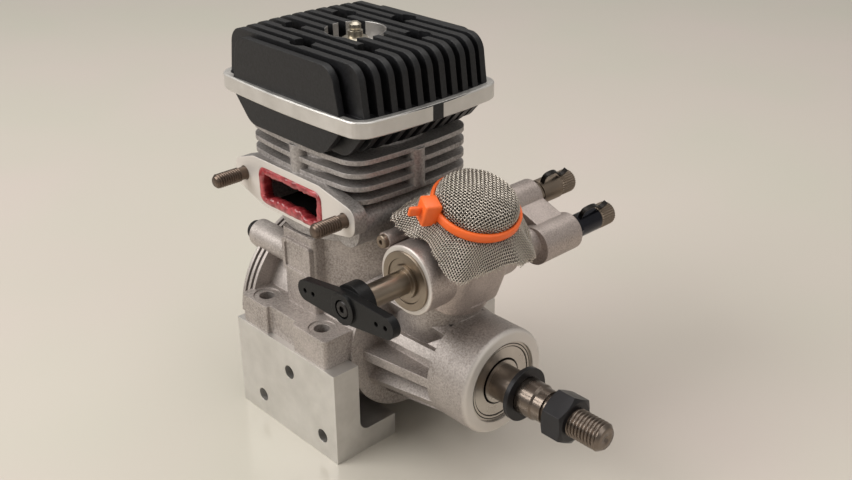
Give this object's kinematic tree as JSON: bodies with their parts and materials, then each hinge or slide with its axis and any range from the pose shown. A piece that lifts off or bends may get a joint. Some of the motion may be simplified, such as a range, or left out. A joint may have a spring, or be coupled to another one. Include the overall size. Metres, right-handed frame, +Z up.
{
  "type": "model helicopter engine",
  "caption": "Two-stroke glow engine with finned head, barrel carburettor, mesh intake filter, threaded output shaft and L-shaped mount blocks.",
  "frame": {"origin": "where the cylinder axis meets the crank axis, the centre of the four lug holes in the plane where the lugs sit on the blocks", "axes": "+X along the crankshaft towards the output end, +Z up the cylinder, exhaust towards -Y"},
  "size_m": [0.1481, 0.1146, 0.1391],
  "materials": {
    "cast_case": "cast, fine grain",
    "cast_cylinder": "cast, fine grain",
    "cast_carburettor": "cast, fine grain",
    "machined_block": "satin machined",
    "black_head": "black anodised with a bare machined edge",
    "liner_steel": "honed",
    "gasket_paper": "matte",
    "black_screw": "black oxide",
    "oxidised_stud": "oxidised",
    "red_sealant": "smeared, semi-gloss",
    "nickel_plug": "nickel plate",
    "plug_glass": "glazed",
    "copper_washer": "plated",
    "bearing_steel": "ground",
    "ball_steel": "polished",
    "shaft_steel": "ground",
    "black_oxide": "black oxide",
    "piston_alloy": "turned",
    "ring_iron": "ground",
    "rod_alloy": "machined",
    "bush_bronze": "reamed",
    "bronze_barrel": "bronze anodised",
    "black_nylon": "moulded",
    "dark_knob": "knurled, dark",
    "black_seat": "black plated",
    "spring_steel": "blued",
    "steel_mesh": "woven wire",
    "orange_nylon": "moulded"
  },
  "bodies": {
    "engine": {"crankcase": "cast_case", "rear_cover": "cast_case", "rear_cover_screws": "black_screw", "cylinder": "cast_cylinder", "cylinder_liner": "liner_steel", "base_gasket": "gasket_paper", "exhaust_studs": "oxidised_stud", "port_sealant": "red_sealant", "cylinder_head": "black_head", "head_gasket": "copper_washer", "head_bolts": "black_screw", "glow_plug_body": "nickel_plug", "glow_plug_terminal": "nickel_plug", "glow_plug_insulator": "plug_glass", "glow_plug_washer": "copper_washer", "front_bearing_outer": "bearing_steel", "front_bearing_shield": "bearing_steel", "rear_bearing_outer": "bearing_steel", "carburettor_body": "cast_carburettor", "carburettor_seal": "gasket_paper", "carburettor_pinch_bolt": "black_screw", "idle_stop_screw": "dark_knob", "main_needle_seat": "black_seat", "main_ratchet_spring": "spring_steel", "idle_needle_seat": "dark_knob", "idle_ratchet_spring": "spring_steel", "fuel_nipple": "dark_knob", "mesh_filter": "steel_mesh", "zip_tie": "orange_nylon", "mount_block_left": "machined_block", "mount_block_right": "machined_block"},
    "crankshaft": {"crankshaft": "shaft_steel", "front_bearing_inner": "bearing_steel", "rear_bearing_inner": "bearing_steel", "shaft_washer": "black_oxide", "shaft_nut": "black_oxide"},
    "front_balls": {"front_bearing_balls": "ball_steel"},
    "rear_balls": {"rear_bearing_balls": "ball_steel"},
    "piston": {"piston": "piston_alloy", "piston_ring": "ring_iron", "wrist_pin": "bearing_steel", "wrist_pin_clips": "spring_steel"},
    "rod": {"connecting_rod": "rod_alloy", "big_end_bush": "bush_bronze", "small_end_bush": "bush_bronze", "crankpin": "shaft_steel"},
    "throttle": {"throttle_barrel": "bronze_barrel", "servo_arm": "black_nylon", "servo_arm_screw": "black_screw"},
    "main_needle": {"main_needle": "dark_knob"},
    "idle_needle": {"idle_needle": "dark_knob"}
  },
  "joints": [
    {"name": "crank_turn", "type": "hinge", "parent": "engine", "child": "crankshaft", "pos_m": [0, 0, 0], "axis": [1, 0, 0], "continuous": true},
    {"name": "front_balls_turn", "type": "hinge", "parent": "engine", "child": "front_balls", "pos_m": [0, 0, 0], "axis": [1, 0, 0], "continuous": true},
    {"name": "rear_balls_turn", "type": "hinge", "parent": "engine", "child": "rear_balls", "pos_m": [0, 0, 0], "axis": [1, 0, 0], "continuous": true},
    {"name": "piston_slide", "type": "slide", "parent": "engine", "child": "piston", "axis": [0, 0, 1], "range_m": [0, 0.028]},
    {"name": "rod_swing", "type": "hinge", "parent": "piston", "child": "rod", "pos_m": [0, 0, 0.034], "axis": [1, 0, 0], "range_deg": [-12, 12]},
    {"name": "throttle_turn", "type": "hinge", "parent": "engine", "child": "throttle", "pos_m": [0.04725, 0, 0.03697], "axis": [0, 1, 0], "range_deg": [-35, 40]},
    {"name": "main_needle_turn", "type": "hinge", "parent": "engine", "child": "main_needle", "pos_m": [0.05483, 0, 0.03411], "axis": [0, 1, 0], "range_deg": [-720, 360]},
    {"name": "idle_needle_turn", "type": "hinge", "parent": "engine", "child": "idle_needle", "pos_m": [0.03924, 0, 0.04266], "axis": [0, 1, 0], "range_deg": [-720, 360]}
  ],
  "couplings": [
    {"joint": "front_balls_turn", "follows": "crank_turn", "ratio": 0.381},
    {"joint": "rear_balls_turn", "follows": "crank_turn", "ratio": 0.40846}
  ]
}
